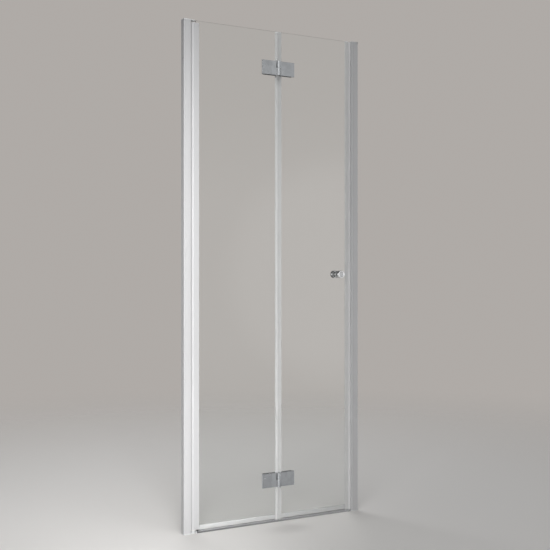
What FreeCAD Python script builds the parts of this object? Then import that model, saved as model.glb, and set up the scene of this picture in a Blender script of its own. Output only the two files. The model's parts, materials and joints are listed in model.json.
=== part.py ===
import FreeCAD, Part
import math
import os
import re
import Sketcher

# A two-leaf folding shower door for a niche, 800 mm wide and 2 m high.
# +Z is up, +X runs from the pivot side to the handle side, -Y is the outside of the shower.
# The origin is on the tray, in the middle of the opening and of the glass thickness.

V = FreeCAD.Vector
UP = V(0, 0, 1)
ACROSS = V(0, 1, 0)
ALONG = V(1, 0, 0)
FULL_TURN = 360.0
HALF_TURN = 180.0

# Driving sizes in millimetres. Each is written once, here.
SIZES = {
    # The niche and the door
    "opening_width": 800.0,
    "door_height": 2000.0,
    "glass_thickness": 6.0,
    "glass_lift": 16.0,
    "glass_arris": 0.6,
    # Clearances
    "fit_gap": 0.05,
    "running_gap": 0.05,
    "face_gap": 0.1,
    "cut_overrun": 1.0,
    # Channel screwed to each wall
    "channel_depth": 26.0,
    "channel_reach": 24.0,
    "channel_wall": 1.6,
    "wall_hole_radius": 3.0,
    "wall_hole_end": 150.0,
    "wall_hole_inner": 700.0,
    # Jamb profile that slides over the channel
    "jamb_depth": 30.0,
    "jamb_width": 21.0,
    "jamb_wall": 1.6,
    "jamb_corner": 1.2,
    "jamb_reach_left": 29.5,
    "jamb_reach_right": 33.0,
    "slot_mouth": 4.0,
    "slot_head": 7.0,
    "slot_depth": 2.2,
    "slot_wall": 1.2,
    "groove_place": 10.0,
    "groove_width": 2.2,
    "groove_depth": 0.9,
    # Screws that lock the jamb on the channel
    "adjuster_offset": 17.0,
    "adjuster_end": 200.0,
    "adjuster_radius": 1.8,
    "adjuster_length": 6.0,
    "adjuster_head_radius": 3.4,
    "adjuster_head_height": 1.9,
    # Strips held in the slot of the jamb
    "strip_slack": 0.15,
    "lip_gap": 0.5,
    "striker_projection": 9.0,
    "striker_depth": 11.0,
    "striker_wall": 1.1,
    "striker_corner": 1.0,
    "magnet_slack": 0.2,
    "magnet_thickness": 3.6,
    "magnet_set_back": 4.0,
    # Brackets and pins that carry the pivot
    "bracket_thickness": 3.0,
    "tongue_radius": 9.0,
    "lug_gap": 0.3,
    "lug_height": 12.0,
    "boss_radius": 6.5,
    "boss_top": 11.0,
    "pivot_radius": 4.0,
    "pivot_inset": 0.5,
    "pivot_engagement": 25.0,
    "pivot_shoulder_radius": 5.5,
    "pivot_shoulder": 1.5,
    "pin_chamfer": 0.6,
    # Low rail on the tray
    "rail_depth": 26.0,
    "rail_height": 8.0,
    "rail_front": 5.2,
    "rail_toe": 1.6,
    "rail_crest": 8.0,
    "rail_corner": 1.4,
    "rail_wall": 1.4,
    "rail_end_thickness": 2.0,
    "rail_end_gap": 0.3,
    "rail_plug": 12.0,
    "rail_plug_gap": 0.2,
    "rail_plug_height": 5.0,
    "rail_plug_half_depth": 2.4,
    # Turning profile that holds the first leaf
    "pivot_offset": 44.0,
    "nose_radius": 11.0,
    "profile_reach": 22.0,
    "profile_wall": 1.6,
    "profile_corner": 1.5,
    "profile_bore": 8.5,
    "pocket_floor": 10.5,
    "pocket_wall": 1.4,
    "profile_bottom": 15.0,
    "profile_drop": 11.0,
    "gasket_leg": 1.2,
    "gasket_floor": 0.8,
    "gasket_bead": 0.8,
    "bush_length": 30.0,
    "bush_flange_radius": 10.5,
    "bush_flange": 2.0,
    # The leaves and the line on which they fold
    "left_leaf": 374.0,
    "fold_gap": 8.0,
    "fold_axis_out": 11.0,
    "magnet_gap": 1.5,
    # Clear seals between the leaves
    "clip_wall": 1.2,
    "clip_web": 1.5,
    "clip_leg_left": 7.0,
    "clip_leg_right": 12.0,
    "fin_thickness": 1.0,
    "bulb_radius": 3.0,
    "bulb_hollow": 2.1,
    "bulb_shift": 0.8,
    "seal_gap": 0.5,
    # Drip seals under the glass
    "drip_leg": 12.0,
    "drip_wall": 1.2,
    "drip_bulb_radius": 2.4,
    "drip_hollow": 1.4,
    "drip_lip_out": 5.0,
    "drip_lip_fall": 5.2,
    "drip_lip_thickness": 1.0,
    # Magnetic seal on the free edge
    "magnet_leg": 6.0,
    "magnet_seal_width": 7.0,
    "magnet_seal_depth": 11.0,
    "magnet_wall": 1.0,
    "magnet_corner": 1.0,
    # Glass to glass hinges
    "hinge_low": 170.0,
    "hinge_top": 150.0,
    "hinge_height": 58.0,
    "hinge_reach": 74.0,
    "back_reach": 66.0,
    "plate_thickness": 5.0,
    "plate_root": 6.6,
    "plate_ramp": 20.0,
    "plate_corner": 1.0,
    "plate_bevel": 0.7,
    "back_thickness": 5.0,
    "back_edge": 5.0,
    "hinge_gasket": 1.0,
    "gasket_margin": 1.0,
    "barrel_radius": 8.0,
    "barrel_slit": 2.4,
    "knuckle_gap": 1.0,
    "hinge_pin_radius": 3.0,
    "hinge_pin_inset": 0.8,
    "hinge_bush_wall": 2.0,
    "hinge_bush_flange": 7.4,
    "hinge_screw_place": 48.0,
    "hinge_screw_spread": 30.0,
    "hinge_screw_radius": 2.5,
    "hinge_screw_head": 5.0,
    "hinge_screw_depth": 3.6,
    "hinge_glass_hole": 7.0,
    "collar_gap": 0.2,
    # Knob through the second leaf
    "knob_height": 1008.0,
    "knob_edge": 44.0,
    "knob_radius": 15.5,
    "knob_out": 34.0,
    "knob_head": 15.0,
    "knob_bevel": 1.2,
    "knob_rim": 2.6,
    "knob_dish": 0.8,
    "knob_neck_radius": 6.5,
    "knob_flare": 1.5,
    "rosette_radius": 14.0,
    "rosette_thickness": 3.0,
    "rosette_bevel": 0.8,
    "knob_washer": 1.0,
    "knob_washer_radius": 13.0,
    "knob_hole": 6.0,
    "stud_radius": 3.0,
    "stud_depth": 14.0,
    "stud_room": 1.5,
}

# Places and sizes that follow from the driving ones
PLACES = {
    "left_wall": "-opening_width / 2",
    "right_wall": "opening_width / 2",
    "half_glass": "glass_thickness / 2",
    "profile_length": "door_height - 2 * bracket_thickness",
    "profile_top": "door_height - bracket_thickness",
    "half_channel": "channel_depth / 2",
    "half_jamb": "jamb_depth / 2",
    "slot_floor": "jamb_wall + slot_depth",
    "slot_back": "slot_floor + slot_wall",
    "left_face": "left_wall + jamb_reach_left",
    "right_face": "right_wall - jamb_reach_right",
    "pivot_x": "left_wall + pivot_offset",
    "fold_x": "pivot_x + left_leaf",
    "half_gap": "fold_gap / 2",
    "clip_out": "half_glass + clip_wall",
    "pocket_half": "half_glass + gasket_leg",
    "leaf_top": "door_height - profile_drop",
    "strip_bottom": "rail_height + seal_gap",
    "right_edge": "right_face - striker_projection - magnet_gap - magnet_seal_width",
    "rail_start": "pivot_x + tongue_radius + rail_end_gap + rail_end_thickness",
    "rail_finish": "right_face - rail_end_thickness",
    "hinge_high": "door_height - hinge_top",
    "clamp_face": "half_glass + hinge_gasket",
    "slit": "barrel_radius + barrel_slit",
    "root_in": "fold_axis_out - clamp_face - plate_root",
    "root_far_squared": "(slit^2 + root_in^2)",
    "touch_share": "barrel_radius^2 / root_far_squared",
    "touch_side_share": "barrel_radius * sqrt(root_far_squared - barrel_radius^2) / root_far_squared",
    "half_hinge": "hinge_height / 2",
    "half_knuckle_gap": "knuckle_gap / 2",
    "hinge_bush_radius": "hinge_pin_radius + running_gap + hinge_bush_wall",
    "knob_x": "right_edge - knob_edge",
    "knob_foot": "half_glass + knob_washer",
    "drip_start": "pivot_x + profile_reach + gasket_bead + seal_gap",
    "drip_reach": "glass_lift - rail_height - seal_gap",
    "left_drip_end": "fold_x - half_gap - clip_leg_left - seal_gap",
    "right_drip_start": "fold_x + half_gap + clip_leg_right + seal_gap",
    "right_drip_end": "right_edge - magnet_leg - seal_gap",
    "bulb_centre": "clip_web - half_gap + seal_gap + bulb_radius",
}

doc = FreeCAD.newDocument("folding_shower_door")
sheet = doc.addObject("Spreadsheet::Sheet", "Sizes")
for row, (name, size) in enumerate(SIZES.items(), start=1):
    sheet.set("A%d" % row, name)
    sheet.set("B%d" % row, str(size))
    sheet.setAlias("B%d" % row, name)
doc.recompute()

parts = []
cuts = []


# Formulas, bindings and sketches

def formula(text):
    """The expression in which each place is written out and each size is read from the sheet."""
    def spell(match):
        word = match.group(0)
        if word in PLACES:
            return "(" + formula(PLACES[word]) + ")"
        if word in SIZES:
            return "Sizes." + word
        return word
    return re.sub(r"[a-z_]{2,}", spell, text)


def value(text):
    """The present value of a formula."""
    return float(sheet.evalExpression(formula(text)))


def bind(thing, **formulas):
    """Tie properties of an object to the sheet."""
    for name, text in formulas.items():
        thing.setExpression(name, formula(text))


def place(thing, x="0", y="0", z="0", turn=None):
    """Put a sub-part in its place, after half a turn about an axis where one is given."""
    if turn is not None:
        thing.Placement = FreeCAD.Placement(V(), FreeCAD.Rotation(turn, HALF_TURN))
    for axis, text in (("x", x), ("y", y), ("z", z)):
        if text != "0":
            thing.setExpression(".Placement.Base." + axis, formula(text))


def new_body(label, pieces=1):
    """An empty sub-part. One of several pieces may hold separate solids."""
    body = doc.addObject("PartDesign::Body", label)
    body.Label = label
    body.AllowCompound = pieces > 1
    parts.append(body)
    return body


def own_plane(body, role):
    """The origin plane or axis of a body that has this role."""
    return [item for item in body.Origin.OriginFeatures if item.Role == role][0]


def sketch_on(body, role, offset="0"):
    """A sketch on an origin plane of its own body, moved along the plane's normal."""
    sketch = body.newObject("Sketcher::SketchObject", body.Name + "_sketch")
    sketch.AttachmentSupport = (own_plane(body, role), [""])
    sketch.MapMode = "FlatFace"
    if offset != "0":
        sketch.setExpression(".AttachmentOffset.Base.z", formula(offset))
    return sketch


def tie(sketch, edge, end, x, y):
    """Hold one point of a sketch at a place worked out from the sheet. None leaves a way free."""
    for kind, text, axis in (("DistanceX", x, -2), ("DistanceY", y, -1)):
        if text is None:
            continue
        if text == "0":
            sketch.addConstraint(Sketcher.Constraint("PointOnObject", edge, end, axis))
        else:
            held = Sketcher.Constraint(kind, -1, 1, edge, end, value(text))
            index = sketch.addConstraint(held)
            sketch.setExpression("Constraints[%d]" % index, formula(text))


def add_outline(sketch, corners):
    """A closed outline. A corner with a third entry starts an arc of that radius,
    which turns left when the radius is positive and right when it is negative.
    Where the next corner has the same x or y, the arc is a half circle on that line."""
    spots = [V(value(corner[0]), value(corner[1])) for corner in corners]
    ends = []
    first = sketch.GeometryCount
    for index, corner in enumerate(corners):
        here = spots[index]
        there = spots[(index + 1) % len(spots)]
        if len(corner) == 2:
            sketch.addGeometry(Part.LineSegment(here, there), False)
            ends.append((1, 2))
            continue
        radius = value(corner[2])
        chord = there - here
        side = V(-chord.y, chord.x).normalize()
        rise = math.sqrt(max(radius * radius - (chord.Length / 2) ** 2, 0))
        centre = (here + there) / 2 + side * math.copysign(rise, radius)
        start, finish = (here, there) if radius > 0 else (there, here)
        angles = [math.atan2(spot.y - centre.y, spot.x - centre.x) for spot in (start, finish)]
        circle = Part.Circle(centre, UP, abs(radius))
        sketch.addGeometry(Part.ArcOfCircle(circle, angles[0], angles[1]), False)
        ends.append((1, 2) if radius > 0 else (2, 1))
        after = corners[(index + 1) % len(corners)]
        if corner[0] == after[0]:
            tie(sketch, first + index, 3, corner[0], None)
        elif corner[1] == after[1]:
            tie(sketch, first + index, 3, None, corner[1])
        else:
            held = Sketcher.Constraint("Radius", first + index, abs(radius))
            number = sketch.addConstraint(held)
            sketch.setExpression("Constraints[%d]" % number, formula("abs(%s)" % corner[2]))
    for index, corner in enumerate(corners):
        after = (index + 1) % len(corners)
        sketch.addConstraint(Sketcher.Constraint(
            "Coincident", first + index, ends[index][1], first + after, ends[after][0]))
        tie(sketch, first + index, ends[index][0], corner[0], corner[1])


def add_circle(sketch, x, y, radius):
    """A circle whose centre and radius follow the sheet."""
    edge = sketch.addGeometry(Part.Circle(V(value(x), value(y)), UP, value(radius)), False)
    tie(sketch, edge, 3, x, y)
    index = sketch.addConstraint(Sketcher.Constraint("Radius", edge, value(radius)))
    sketch.setExpression("Constraints[%d]" % index, formula(radius))


def pad(body, sketch, length, back=False):
    """Grow a sketch along its normal, or the other way."""
    feature = body.newObject("PartDesign::Pad", body.Name + "_pad")
    feature.Profile = sketch
    feature.Reversed = back
    bind(feature, Length=length)
    return feature


def pocket(body, sketch, length=None, back=False):
    """Cut a sketch into the solid against its normal, or along it. No length cuts through."""
    base = body.Tip
    feature = body.newObject("PartDesign::Pocket", body.Name + "_pocket")
    feature.Profile = sketch
    feature.Reversed = back
    if length is None:
        feature.Type = "ThroughAll"
    else:
        bind(feature, Length=length)
    cuts.append((base, feature))
    return feature


def revolve(body, sketch):
    """Turn a sketch once round its own vertical axis."""
    feature = body.newObject("PartDesign::Revolution", body.Name + "_revolution")
    feature.Profile = sketch
    feature.ReferenceAxis = (sketch, ["V_Axis"])
    feature.Angle = FULL_TURN
    return feature


def repeat_up(body, feature, length, count):
    """Repeat a feature up the body's own vertical axis."""
    pattern = body.newObject("PartDesign::LinearPattern", body.Name + "_pattern")
    pattern.Originals = [feature]
    pattern.Direction = (own_plane(body, "Z_Axis"), [""])
    bind(pattern, Length=length)
    pattern.Occurrences = count
    body.Tip = pattern
    return pattern


def edges_where(feature, wanted):
    """Names of the edges of a feature that pass a test."""
    doc.recompute()
    return ["Edge%d" % (number + 1)
            for number, edge in enumerate(feature.Shape.Edges) if wanted(edge)]


def bevel(body, feature, wanted, size):
    """Bevel the edges of a feature that pass a test."""
    names = edges_where(feature, wanted)
    chamfer = body.newObject("PartDesign::Chamfer", body.Name + "_bevel")
    chamfer.Base = (feature, names)
    bind(chamfer, Size=size)
    return chamfer


def is_round(edge):
    """Whether an edge is a circle or part of one."""
    return isinstance(edge.Curve, Part.Circle)


def level(edge, axis, height):
    """Whether both ends and the middle of an edge lie at this height along an axis."""
    close = value("fit_gap") / 2
    box = edge.BoundBox
    low = getattr(box, axis + "Min")
    high = getattr(box, axis + "Max")
    return abs(low - height) < close and abs(high - height) < close


# The fixed frame

def channel_section(sketch):
    """U-shaped wall channel, open towards the door."""
    add_outline(sketch, [
        ("0", "-half_channel"),
        ("channel_reach", "-half_channel"),
        ("channel_reach", "channel_wall - half_channel"),
        ("channel_wall", "channel_wall - half_channel"),
        ("channel_wall", "half_channel - channel_wall"),
        ("channel_reach", "half_channel - channel_wall"),
        ("channel_reach", "half_channel"),
        ("0", "half_channel"),
    ])


def locking_heights():
    """Heights of the locking screws above the foot of the profiles."""
    return ["adjuster_end", "profile_length / 2", "profile_length - adjuster_end"]


def wall_channel(label):
    """Wall channel with its screw holes, from its foot up."""
    body = new_body(label)
    section = sketch_on(body, "XY_Plane")
    channel_section(section)
    pad(body, section, "profile_length")
    holes = sketch_on(body, "YZ_Plane")
    for height in ("wall_hole_end", "wall_hole_inner",
                   "profile_length - wall_hole_inner", "profile_length - wall_hole_end"):
        add_circle(holes, "0", height, "wall_hole_radius")
    pocket(body, holes, "channel_wall + cut_overrun", back=True)
    locks = sketch_on(body, "XZ_Plane")
    for height in locking_heights():
        add_circle(locks, "adjuster_offset", height, "adjuster_radius + fit_gap")
    pocket(body, locks)
    return body


def jamb_section(sketch):
    """Jamb profile: a cover with a T slot in its face and a fine groove in its front."""
    groove = "groove_place - jamb_width"
    add_outline(sketch, [
        ("-jamb_width", "-half_jamb"),
        (groove, "-half_jamb"),
        (groove, "groove_depth - half_jamb"),
        (groove + " + groove_width", "groove_depth - half_jamb"),
        (groove + " + groove_width", "-half_jamb"),
        ("-jamb_corner", "-half_jamb", "jamb_corner"),
        ("0", "jamb_corner - half_jamb"),
        ("0", "-slot_mouth / 2"),
        ("-jamb_wall", "-slot_mouth / 2"),
        ("-jamb_wall", "-slot_head / 2"),
        ("-slot_floor", "-slot_head / 2"),
        ("-slot_floor", "slot_head / 2"),
        ("-jamb_wall", "slot_head / 2"),
        ("-jamb_wall", "slot_mouth / 2"),
        ("0", "slot_mouth / 2"),
        ("0", "half_jamb - jamb_corner", "jamb_corner"),
        ("-jamb_corner", "half_jamb"),
        ("-jamb_width", "half_jamb"),
        ("-jamb_width", "half_jamb - jamb_wall"),
        ("-jamb_wall", "half_jamb - jamb_wall"),
        ("-jamb_wall", "slot_head / 2 + slot_wall"),
        ("-slot_back", "slot_head / 2 + slot_wall"),
        ("-slot_back", "-slot_head / 2 - slot_wall"),
        ("-jamb_wall", "-slot_head / 2 - slot_wall"),
        ("-jamb_wall", "jamb_wall - half_jamb"),
        ("-jamb_width", "jamb_wall - half_jamb"),
    ])


def jamb_profile(label, reach):
    """Jamb profile with the holes for its locking screws. Its face is at x = 0."""
    body = new_body(label)
    section = sketch_on(body, "XY_Plane")
    jamb_section(section)
    pad(body, section, "profile_length")
    locks = sketch_on(body, "XZ_Plane")
    for height in locking_heights():
        add_circle(locks, "adjuster_offset - " + reach, height, "adjuster_radius + fit_gap")
    pocket(body, locks)
    return body


def locking_screws(label):
    """Three pan head screws, set from the inside of the shower."""
    body = new_body(label, pieces=3)
    section = sketch_on(body, "XY_Plane")
    top = "half_jamb + adjuster_head_height"
    add_outline(section, [
        ("0", "half_jamb - adjuster_length"),
        ("adjuster_radius", "half_jamb - adjuster_length"),
        ("adjuster_radius", "half_jamb"),
        ("adjuster_head_radius", "half_jamb"),
        ("adjuster_head_radius", "half_jamb + adjuster_head_height / 2"),
        ("adjuster_head_radius - adjuster_head_height / 2", top),
        ("0", top),
    ])
    screw = revolve(body, section)
    repeat_up(body, screw, "profile_length - 2 * adjuster_end", 3)
    return body


def pivot_bracket(label, boss):
    """End plate of the pivot side. Its tongue holds the pivot pin and a lug fills the profiles.
    The pivot axis is at x = 0 and the outer face at z = 0."""
    body = new_body(label)
    face = "jamb_reach_left - pivot_offset"
    plate = sketch_on(body, "XY_Plane")
    add_outline(plate, [
        ("-pivot_offset", "-half_jamb"),
        (face + " - jamb_corner", "-half_jamb", "jamb_corner"),
        (face, "jamb_corner - half_jamb"),
        (face, "-tongue_radius"),
        ("0", "-tongue_radius", "tongue_radius"),
        ("0", "tongue_radius"),
        (face, "tongue_radius"),
        (face, "half_jamb - jamb_corner", "jamb_corner"),
        (face + " - jamb_corner", "half_jamb"),
        ("-pivot_offset", "half_jamb"),
    ])
    pad(body, plate, "bracket_thickness")
    lug = sketch_on(body, "XY_Plane", "bracket_thickness")
    near = "channel_wall + lug_gap - pivot_offset"
    far = face + " - slot_back - lug_gap"
    half = "half_channel - channel_wall - lug_gap"
    add_outline(lug, [
        (near, "-(" + half + ")"),
        (far, "-(" + half + ")"),
        (far, half),
        (near, half),
    ])
    pad(body, lug, "lug_height")
    if boss:
        post = sketch_on(body, "XY_Plane", "bracket_thickness")
        add_circle(post, "0", "0", "boss_radius")
        pad(body, post, "boss_top - bracket_thickness")
    hole = sketch_on(body, "XY_Plane")
    add_circle(hole, "0", "0", "pivot_radius + fit_gap")
    pocket(body, hole, back=True)
    return body


def turned_pin(label, corners):
    """A pin turned about the vertical axis."""
    body = new_body(label)
    section = sketch_on(body, "XZ_Plane")
    add_outline(section, corners)
    revolve(body, section)
    return body


def pivot_pins():
    """The pins on which the first leaf turns. The lower one stands in the boss."""
    low_tip = "profile_bottom + pivot_engagement"
    lower = turned_pin("pivot_pin_bottom", [
        ("0", "pivot_inset"),
        ("pivot_radius", "pivot_inset"),
        ("pivot_radius", low_tip + " - pin_chamfer"),
        ("pivot_radius - pin_chamfer", low_tip),
        ("0", low_tip),
    ])
    place(lower, x="pivot_x")
    high_tip = "profile_drop + pivot_engagement"
    upper = turned_pin("pivot_pin_top", [
        ("0", "pivot_inset"),
        ("pivot_radius", "pivot_inset"),
        ("pivot_radius", "bracket_thickness"),
        ("pivot_shoulder_radius", "bracket_thickness"),
        ("pivot_shoulder_radius", "bracket_thickness + pivot_shoulder"),
        ("pivot_radius", "bracket_thickness + pivot_shoulder"),
        ("pivot_radius", high_tip + " - pin_chamfer"),
        ("pivot_radius - pin_chamfer", high_tip),
        ("0", high_tip),
    ])
    place(upper, x="pivot_x", z="door_height", turn=ALONG)


def slot_foot():
    """The foot of a strip in the T slot of the jamb, from its lower side round to its upper side."""
    mouth = "(slot_mouth / 2 - strip_slack)"
    head = "(slot_head / 2 - strip_slack)"
    inner = "strip_slack - slot_floor"
    outer = "-jamb_wall - strip_slack"
    lower = [(inner, "-" + head), (outer, "-" + head), (outer, "-" + mouth)]
    upper = [(outer, mouth), (outer, head), (inner, head)]
    return mouth, lower, upper


def jamb_seal():
    """Rubber lip that closes the joint beside the turning profile."""
    body = new_body("jamb_seal")
    mouth, lower, upper = slot_foot()
    lip = "pivot_offset - nose_radius - jamb_reach_left - lip_gap - " + mouth
    section = sketch_on(body, "XY_Plane")
    add_outline(section, lower + [(lip, "-" + mouth, mouth), (lip, mouth)] + upper)
    pad(body, section, "profile_length")
    place(body, x="left_face", z="bracket_thickness")


def striker():
    """Strip in the handle-side jamb with the magnet that the door closes on."""
    strip = new_body("striker_strip")
    mouth, lower, upper = slot_foot()
    half = "striker_depth / 2"
    section = sketch_on(strip, "XY_Plane")
    add_outline(section, lower + [
        ("0", "-" + mouth),
        ("0", "-" + half),
        ("striker_projection - striker_corner", "-" + half, "striker_corner"),
        ("striker_projection", "striker_corner - " + half),
        ("striker_projection", half + " - striker_corner", "striker_corner"),
        ("striker_projection - striker_corner", half),
        ("0", half),
        ("0", mouth),
    ] + upper)
    far = "striker_projection - striker_wall"
    wide = "(" + half + " - striker_wall)"
    add_outline(section, [
        ("striker_wall", "-" + wide),
        (far, "-" + wide),
        (far, wide),
        ("striker_wall", wide),
    ])
    pad(strip, section, "profile_top - strip_bottom")
    place(strip, x="right_face", z="profile_top", turn=ACROSS)
    magnet = magnet_bar("striker_magnet", far + " - face_gap", wide,
                        "profile_top - strip_bottom - 2 * magnet_set_back")
    place(magnet, x="right_face", z="profile_top - magnet_set_back", turn=ACROSS)


def magnet_bar(label, far, wide, length):
    """Flat magnet that lies against the outer wall of its chamber."""
    body = new_body(label)
    half = "(" + wide + " - magnet_slack)"
    section = sketch_on(body, "XY_Plane")
    add_outline(section, [
        (far + " - magnet_thickness", "-" + half),
        (far, "-" + half),
        (far, half),
        (far + " - magnet_thickness", half),
    ])
    pad(body, section, length)
    return body


def profile_cap(label):
    """Cap on one end of the handle-side profiles, with a lug inside them.
    The wall is at x = 0 and the outer face at z = 0."""
    body = new_body(label)
    plate = sketch_on(body, "XY_Plane")
    add_outline(plate, [
        ("0", "-half_jamb"),
        ("jamb_reach_right - jamb_corner", "-half_jamb", "jamb_corner"),
        ("jamb_reach_right", "jamb_corner - half_jamb"),
        ("jamb_reach_right", "half_jamb - jamb_corner", "jamb_corner"),
        ("jamb_reach_right - jamb_corner", "half_jamb"),
        ("0", "half_jamb"),
    ])
    pad(body, plate, "bracket_thickness")
    lug = sketch_on(body, "XY_Plane", "bracket_thickness")
    near = "channel_wall + lug_gap"
    far = "channel_reach - lug_gap"
    half = "(half_channel - channel_wall - lug_gap)"
    add_outline(lug, [(near, "-" + half), (far, "-" + half), (far, half), (near, half)])
    pad(body, lug, "lug_height")
    return body


def rail_outline():
    """Low threshold: upright front, gentle fall to the outside, ramp to the inside."""
    front = "-rail_depth / 2"
    back = "rail_depth / 2"
    return [
        (front, "0"),
        (back, "0"),
        (back, "rail_toe"),
        ("rail_crest / 2", "rail_height"),
        ("-rail_crest / 2", "rail_height"),
        (front + " + rail_corner", "rail_front + rail_corner", "rail_corner"),
        (front, "rail_front"),
    ]


def threshold_rail():
    """Rail on the tray under the door, hollow below."""
    body = new_body("threshold_rail")
    section = sketch_on(body, "YZ_Plane")
    add_outline(section, rail_outline())
    pad(body, section, "rail_finish - rail_start")
    hollow = sketch_on(body, "YZ_Plane")
    top = "rail_height - rail_wall"
    add_outline(hollow, [
        ("rail_wall - rail_depth / 2", "0"),
        ("rail_depth / 2 - rail_wall - rail_toe", "0"),
        ("rail_crest / 2 - rail_wall / 2", top),
        ("rail_wall / 2 - rail_crest / 2", top),
        ("rail_wall - rail_depth / 2", "rail_front"),
    ])
    pocket(body, hollow, back=True)
    place(body, x="rail_start")


def threshold_end(label):
    """End piece of the rail with a plug that fits its hollow. The plug points along +X."""
    body = new_body(label)
    plate = sketch_on(body, "YZ_Plane")
    add_outline(plate, rail_outline())
    pad(body, plate, "rail_end_thickness")
    plug = sketch_on(body, "YZ_Plane", "rail_end_thickness")
    half = "rail_plug_half_depth"
    add_outline(plug, [
        ("-" + half, "rail_plug_gap"),
        (half, "rail_plug_gap"),
        (half, "rail_plug_height"),
        ("-" + half, "rail_plug_height"),
    ])
    pad(body, plug, "rail_plug")
    return body


def build_frame():
    """Everything that stays on the walls and the tray."""
    place(wall_channel("wall_channel_left"), x="left_wall", z="bracket_thickness")
    place(wall_channel("wall_channel_right"), x="right_wall", z="profile_top", turn=ACROSS)
    left = jamb_profile("jamb_profile_left", "jamb_reach_left")
    place(left, x="left_face", z="bracket_thickness")
    right = jamb_profile("jamb_profile_right", "jamb_reach_right")
    place(right, x="right_face", z="profile_top", turn=ACROSS)
    lock_height = "bracket_thickness + adjuster_end"
    place(locking_screws("locking_screws_left"), x="left_wall + adjuster_offset", z=lock_height)
    place(locking_screws("locking_screws_right"), x="right_wall - adjuster_offset", z=lock_height)
    place(pivot_bracket("pivot_bracket_bottom", True), x="pivot_x")
    place(pivot_bracket("pivot_bracket_top", False), x="pivot_x", z="door_height", turn=ALONG)
    pivot_pins()
    jamb_seal()
    striker()
    place(profile_cap("profile_cap_bottom"), x="right_wall", turn=UP)
    place(profile_cap("profile_cap_top"), x="right_wall", z="door_height", turn=ACROSS)
    threshold_rail()
    place(threshold_end("threshold_end_left"), x="rail_start - rail_end_thickness")
    place(threshold_end("threshold_end_right"), x="rail_finish + rail_end_thickness", turn=UP)


# Glass and seals

def glass_pane(label, start, finish, hinge_side, knob=False):
    """Toughened pane with its holes and fine bevels. x = 0 is the axis that its leaf turns on."""
    body = new_body(label)
    face = sketch_on(body, "XZ_Plane", "-half_glass")
    add_outline(face, [
        (start, "glass_lift"),
        (finish, "glass_lift"),
        (finish, "door_height"),
        (start, "door_height"),
    ])
    slab = pad(body, face, "glass_thickness")
    half = value("half_glass")
    bevel(body, slab,
          lambda edge: level(edge, "Y", half) or level(edge, "Y", -half), "glass_arris")
    holes = sketch_on(body, "XZ_Plane", "half_glass")
    for height in ("hinge_low", "hinge_high"):
        for shift in (" - hinge_screw_spread / 2", " + hinge_screw_spread / 2"):
            add_circle(holes, hinge_side, height + shift, "hinge_glass_hole")
    if knob:
        add_circle(holes, "knob_x - fold_x", "knob_height", "knob_hole")
    pocket(body, holes)
    return body


def fold_seal_left(label, bottom, top):
    """Clear clip on the first leaf with a fin behind the joint. x = 0 is the fold line."""
    body = new_body(label)
    edge = "clip_web - half_gap"
    leg = "-half_gap - clip_leg_left"
    tip = "half_gap - clip_web - seal_gap"
    fin = "clip_out - fin_thickness"
    section = sketch_on(body, "XY_Plane")
    add_outline(section, [
        (leg, "-clip_out"),
        (edge, "-clip_out"),
        (edge, fin),
        (tip, fin),
        (tip, "clip_out"),
        (leg, "clip_out"),
        (leg, "half_glass"),
        ("-half_gap", "half_glass"),
        ("-half_gap", "-half_glass"),
        (leg, "-half_glass"),
    ])
    pad(body, section, top + " - (" + bottom + ")")
    place(body, x="fold_x", z=bottom)


def fold_seal_right(label, bottom, top):
    """Clear clip on the second leaf with a hollow bulb that fills the joint."""
    body = new_body(label)
    edge = "half_gap - clip_web"
    leg = "half_gap + clip_leg_right"
    section = sketch_on(body, "XY_Plane")
    add_outline(section, [
        (edge, "-clip_out"),
        (leg, "-clip_out"),
        (leg, "-half_glass"),
        ("half_gap", "-half_glass"),
        ("half_gap", "half_glass"),
        (leg, "half_glass"),
        (leg, "clip_out"),
        (edge, "clip_out"),
        (edge, "bulb_radius - bulb_shift"),
        ("bulb_centre", "bulb_radius - bulb_shift", "bulb_radius"),
        ("bulb_centre", "-bulb_radius - bulb_shift"),
        (edge, "-bulb_radius - bulb_shift"),
    ])
    add_circle(section, "bulb_centre", "-bulb_shift", "bulb_hollow")
    pad(body, section, top + " - (" + bottom + ")")
    place(body, x="fold_x", z=bottom)


def drip_seal(label, start, finish):
    """Clear clip under the glass with a bulb over the rail and a lip to the inside.
    The glass stands at z = 0."""
    body = new_body(label)
    leg = "drip_leg"
    out = "(half_glass + drip_wall)"
    round_end = "drip_bulb_radius - drip_reach"
    lip_out = out + " + drip_lip_out"
    section = sketch_on(body, "YZ_Plane")
    add_outline(section, [
        ("-" + out, leg),
        ("-" + out, "-drip_wall"),
        ("-drip_bulb_radius", "-drip_wall"),
        ("-drip_bulb_radius", round_end, "drip_bulb_radius"),
        ("drip_bulb_radius", round_end),
        ("drip_bulb_radius", "-drip_wall"),
        (out, "-drip_wall"),
        (lip_out + " - drip_lip_thickness", "-drip_lip_fall"),
        (lip_out, "drip_lip_thickness - drip_lip_fall"),
        (out, "drip_lip_thickness"),
        (out, leg),
        ("half_glass", leg),
        ("half_glass", "0"),
        ("-half_glass", "0"),
        ("-half_glass", leg),
    ])
    add_circle(section, "0", round_end, "drip_hollow")
    pad(body, section, finish + " - (" + start + ")")
    place(body, x=start, z="glass_lift")


def seal_lengths():
    """The three stretches of the fold seals: below, between and above the hinges."""
    clear = "half_hinge + seal_gap"
    return [
        ("lower", "strip_bottom", "hinge_low - " + clear.replace("+", "-")),
        ("middle", "hinge_low + " + clear, "hinge_high - " + clear.replace("+", "-")),
        ("upper", "hinge_high + " + clear, "door_height"),
    ]


# Hinges between the leaves

def screw_circles(sketch, radius):
    """The two screw places of one half of a hinge."""
    for height in ("-hinge_screw_spread / 2", "hinge_screw_spread / 2"):
        add_circle(sketch, "-hinge_screw_place", height, radius)


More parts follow.
